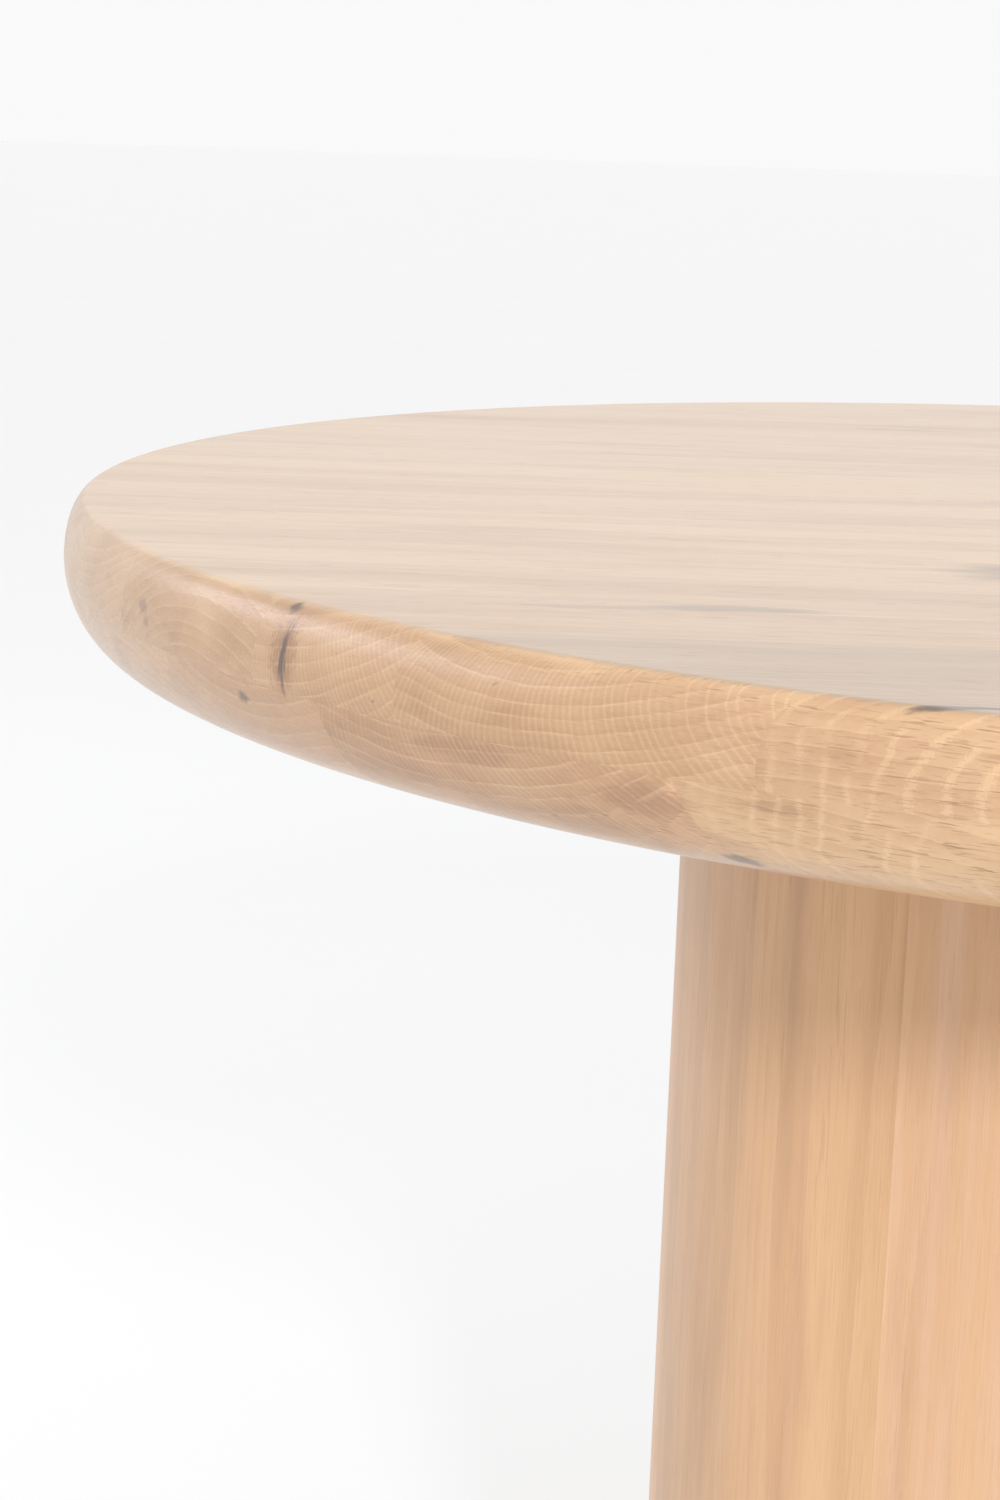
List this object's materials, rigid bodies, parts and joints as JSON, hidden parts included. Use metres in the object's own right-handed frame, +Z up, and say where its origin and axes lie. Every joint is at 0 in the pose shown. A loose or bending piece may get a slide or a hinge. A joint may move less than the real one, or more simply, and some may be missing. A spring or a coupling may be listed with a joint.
{
  "type": "round pedestal table",
  "caption": "Round dining table with a thick soft-edged solid oak top on a broad straight drum pedestal, on levelling feet.",
  "frame": {"origin": "on the floor, under the middle of the round top and column", "axes": "+Z up along the column; +X along the grain of the top's boards; +Y across the boards"},
  "size_m": [1, 1, 0.75],
  "materials": {
    "top_oak": "pale oak boards, clear satin lacquer",
    "column_oak": "oak staves, upright grain, clear satin lacquer",
    "inner_plywood": "birch plywood, unfinished",
    "zinc_steel": "bright zinc plated",
    "black_nylon": "matt moulded nylon"
  },
  "bodies": {
    "table": {"upper_board_1": "top_oak", "upper_board_2": "top_oak", "upper_board_3": "top_oak", "upper_board_4": "top_oak", "upper_board_5": "top_oak", "upper_board_6": "top_oak", "upper_board_7": "top_oak", "upper_board_8": "top_oak", "upper_board_9": "top_oak", "upper_board_10": "top_oak", "upper_board_11": "top_oak", "upper_board_12": "top_oak", "lower_board_1": "top_oak", "lower_board_2": "top_oak", "lower_board_3": "top_oak", "lower_board_4": "top_oak", "lower_board_5": "top_oak", "lower_board_6": "top_oak", "lower_board_7": "top_oak", "lower_board_8": "top_oak", "lower_board_9": "top_oak", "lower_board_10": "top_oak", "lower_board_11": "top_oak", "lower_board_12": "top_oak", "column_stave_1": "column_oak", "column_stave_2": "column_oak", "column_stave_3": "column_oak", "column_stave_4": "column_oak", "column_stave_5": "column_oak", "column_stave_6": "column_oak", "column_stave_7": "column_oak", "column_stave_8": "column_oak", "column_stave_9": "column_oak", "column_stave_10": "column_oak", "column_stave_11": "column_oak", "column_stave_12": "column_oak", "column_stave_13": "column_oak", "column_stave_14": "column_oak", "column_stave_15": "column_oak", "column_stave_16": "column_oak", "column_stave_17": "column_oak", "column_stave_18": "column_oak", "column_top_board": "inner_plywood", "column_bottom_ring": "inner_plywood", "top_insert_1": "zinc_steel", "top_insert_2": "zinc_steel", "top_insert_3": "zinc_steel", "top_insert_4": "zinc_steel", "top_bolt_1": "zinc_steel", "top_bolt_2": "zinc_steel", "top_bolt_3": "zinc_steel", "top_bolt_4": "zinc_steel", "foot_insert_1": "zinc_steel", "foot_insert_2": "zinc_steel", "foot_insert_3": "zinc_steel", "foot_insert_4": "zinc_steel"},
    "foot_1": {"levelling_foot_1": "black_nylon"},
    "foot_2": {"levelling_foot_2": "black_nylon"},
    "foot_3": {"levelling_foot_3": "black_nylon"},
    "foot_4": {"levelling_foot_4": "black_nylon"}
  },
  "joints": [
    {"name": "foot_1_level", "type": "slide", "parent": "table", "child": "foot_1", "axis": [0, 0, -1], "range_m": [0, 0.012]},
    {"name": "foot_2_level", "type": "slide", "parent": "table", "child": "foot_2", "axis": [0, 0, -1], "range_m": [0, 0.012]},
    {"name": "foot_3_level", "type": "slide", "parent": "table", "child": "foot_3", "axis": [0, 0, -1], "range_m": [0, 0.012]},
    {"name": "foot_4_level", "type": "slide", "parent": "table", "child": "foot_4", "axis": [0, 0, -1], "range_m": [0, 0.012]}
  ]
}
